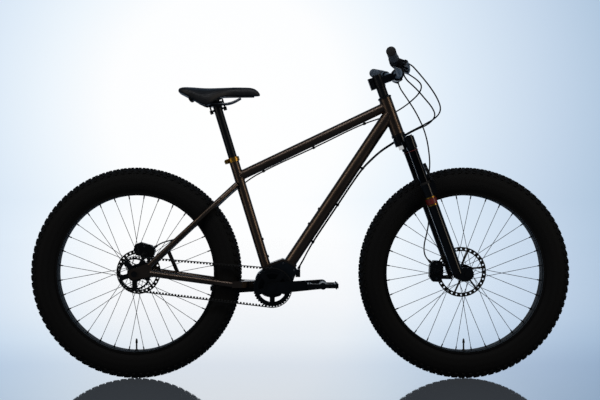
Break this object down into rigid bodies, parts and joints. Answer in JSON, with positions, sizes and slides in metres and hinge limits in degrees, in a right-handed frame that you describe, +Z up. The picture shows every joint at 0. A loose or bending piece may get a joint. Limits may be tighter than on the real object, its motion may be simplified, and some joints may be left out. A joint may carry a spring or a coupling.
{
  "type": "fat tire bike",
  "caption": "Hardtail bicycle on wide knobbly tyres with a suspension fork, crank gearbox, belt drive, disc brakes, flat bar and platform pedals.",
  "frame": {"origin": "on the ground, midway between the two wheel contacts, in the bicycle's middle plane", "axes": "+X forwards, +Y to the rider's left, +Z up"},
  "size_m": [1.914, 0.7544, 1.1378],
  "materials": {
    "titanium": "satin bronze-brown bare metal",
    "gearbox_black": "satin blue-black",
    "black_alloy": "satin black anodised",
    "fork_black": "gloss black",
    "steel": "brushed",
    "stanchion": "polished black",
    "gold": "gold anodised",
    "tyre": "matt",
    "rubber": "matt",
    "black_plastic": "matt",
    "hose": "satin",
    "saddle": "matt synthetic",
    "spoke": "black",
    "pad": "matt"
  },
  "bodies": {
    "frame": {"head_tube": "titanium", "top_tube": "titanium", "down_tube": "titanium", "seat_tube": "titanium", "gearbox_bracket": "titanium", "gearbox_case": "gearbox_black", "chain_stays": "titanium", "seat_stays": "titanium", "dropouts": "titanium", "frame_fittings": "steel", "headset": "black_alloy", "seat_collar": "gold", "rear_axle": "steel", "rear_caliper": "black_alloy", "rear_brake_hose": "hose", "gear_cables": "hose", "belt": "rubber"},
    "collar_lever": {"collar_lever": "gold"},
    "rear_pad_inner": {"rear_pad_inner": "pad"},
    "rear_pad_outer": {"rear_pad_outer": "pad"},
    "seat": {"seatpost": "black_alloy", "saddle_clamp": "black_alloy", "saddle_rails": "steel", "saddle_base": "black_plastic", "saddle_cover": "saddle"},
    "steering": {"steerer": "black_alloy", "fork_crown": "black_alloy", "stanchions": "stanchion", "headset_spacers": "black_alloy", "stem": "black_alloy", "stem_faceplate": "black_alloy", "handlebar": "black_alloy", "grips": "rubber", "control_bodies": "black_plastic", "front_brake_hose": "hose"},
    "brake_lever_left": {"brake_lever_left": "black_alloy"},
    "brake_lever_right": {"brake_lever_right": "black_alloy"},
    "twist_shifter": {"twist_shifter": "rubber"},
    "fork_lower": {"fork_lowers": "fork_black", "fork_wipers": "rubber", "front_axle": "steel", "front_caliper": "black_alloy"},
    "front_pad_inner": {"front_pad_inner": "pad"},
    "front_pad_outer": {"front_pad_outer": "pad"},
    "front_wheel": {"front_tyre": "tyre", "front_rim": "black_alloy", "front_spokes": "spoke", "front_hub": "black_alloy", "front_rotor": "steel"},
    "rear_wheel": {"rear_tyre": "tyre", "rear_rim": "black_alloy", "rear_spokes": "spoke", "rear_hub": "black_alloy", "rear_rotor": "steel"},
    "cranks": {"crank_arms": "black_alloy", "crank_shafts": "steel"},
    "front_pulley": {"front_pulley": "black_alloy"},
    "rear_pulley": {"rear_pulley": "black_alloy"},
    "pedal_right": {"pedal_right": "black_alloy"},
    "pedal_left": {"pedal_left": "black_alloy"}
  },
  "joints": [
    {"name": "steering_turn", "type": "hinge", "parent": "frame", "child": "steering", "pos_m": [0.32886, 0, 0.92137], "axis": [-0.342, 0, 0.9397], "range_deg": [-60, 60], "deforming": ["rear_brake_hose", "gear_cables"]},
    {"name": "fork_travel", "type": "slide", "parent": "steering", "child": "fork_lower", "axis": [-0.342, 0, 0.9397], "range_m": [0, 0.1], "stiffness_N_per_m": 6000, "springref_m": -0.04, "deforming": ["front_brake_hose"]},
    {"name": "front_wheel_spin", "type": "hinge", "parent": "fork_lower", "child": "front_wheel", "pos_m": [0.582, 0, 0.375], "axis": [0, 1, 0], "continuous": true},
    {"name": "rear_wheel_spin", "type": "hinge", "parent": "frame", "child": "rear_wheel", "pos_m": [-0.582, 0, 0.375], "axis": [0, 1, 0], "continuous": true},
    {"name": "crank_spin", "type": "hinge", "parent": "frame", "child": "cranks", "pos_m": [-0.099, 0, 0.326], "axis": [0, 1, 0], "continuous": true, "deforming": ["belt"]},
    {"name": "front_pulley_spin", "type": "hinge", "parent": "frame", "child": "front_pulley", "pos_m": [-0.099, 0, 0.326], "axis": [0, 1, 0], "continuous": true},
    {"name": "rear_pulley_spin", "type": "hinge", "parent": "frame", "child": "rear_pulley", "pos_m": [-0.582, 0, 0.375], "axis": [0, 1, 0], "continuous": true},
    {"name": "pedal_right_spin", "type": "hinge", "parent": "cranks", "child": "pedal_right", "pos_m": [0.0744, 0, 0.34041], "axis": [0, 1, 0], "continuous": true},
    {"name": "pedal_left_spin", "type": "hinge", "parent": "cranks", "child": "pedal_left", "pos_m": [-0.2724, 0, 0.31159], "axis": [0, 1, 0], "continuous": true},
    {"name": "brake_lever_left_pull", "type": "hinge", "parent": "steering", "child": "brake_lever_left", "pos_m": [0.36001, 0.22618, 1.08349], "axis": [0.3738, -0.0673, 0.9251], "range_deg": [0, 15], "stiffness_Nm_per_rad": 3, "springref_deg": -8.59},
    {"name": "brake_lever_right_pull", "type": "hinge", "parent": "steering", "child": "brake_lever_right", "pos_m": [0.36001, -0.22618, 1.08349], "axis": [-0.3738, -0.0673, -0.9251], "range_deg": [0, 15], "stiffness_Nm_per_rad": 3, "springref_deg": -8.59},
    {"name": "front_pad_inner_press", "type": "slide", "parent": "fork_lower", "child": "front_pad_inner", "axis": [0, 1, 0], "range_m": [0, 0.00035]},
    {"name": "front_pad_outer_press", "type": "slide", "parent": "fork_lower", "child": "front_pad_outer", "axis": [0, -1, 0], "range_m": [0, 0.00035]},
    {"name": "rear_pad_inner_press", "type": "slide", "parent": "frame", "child": "rear_pad_inner", "axis": [0, 1, 0], "range_m": [0, 0.00035]},
    {"name": "rear_pad_outer_press", "type": "slide", "parent": "frame", "child": "rear_pad_outer", "axis": [0, -1, 0], "range_m": [0, 0.00035]},
    {"name": "shifter_twist", "type": "hinge", "parent": "steering", "child": "twist_shifter", "pos_m": [0.30717, -0.28048, 1.10879], "axis": [-0.1803, -0.9731, 0.1437], "range_deg": [-90, 90]},
    {"name": "seatpost_slide", "type": "slide", "parent": "frame", "child": "seat", "axis": [-0.2924, 0, 0.9563], "range_m": [-0.09, 0.04]},
    {"name": "collar_lever_swing", "type": "hinge", "parent": "frame", "child": "collar_lever", "pos_m": [-0.26186, 0.01615, 0.76977], "axis": [-0.2924, 0, 0.9563], "range_deg": [0, 160]}
  ],
  "couplings": [
    {"joint": "front_pulley_spin", "follows": "crank_spin", "ratio": 1},
    {"joint": "rear_pulley_spin", "follows": "crank_spin", "ratio": 1.1471},
    {"joint": "front_pad_inner_press", "follows": "brake_lever_left_pull", "m_per_rad": 0.001336},
    {"joint": "front_pad_outer_press", "follows": "brake_lever_left_pull", "m_per_rad": 0.001336},
    {"joint": "rear_pad_inner_press", "follows": "brake_lever_right_pull", "m_per_rad": 0.001336},
    {"joint": "rear_pad_outer_press", "follows": "brake_lever_right_pull", "m_per_rad": 0.001336}
  ]
}
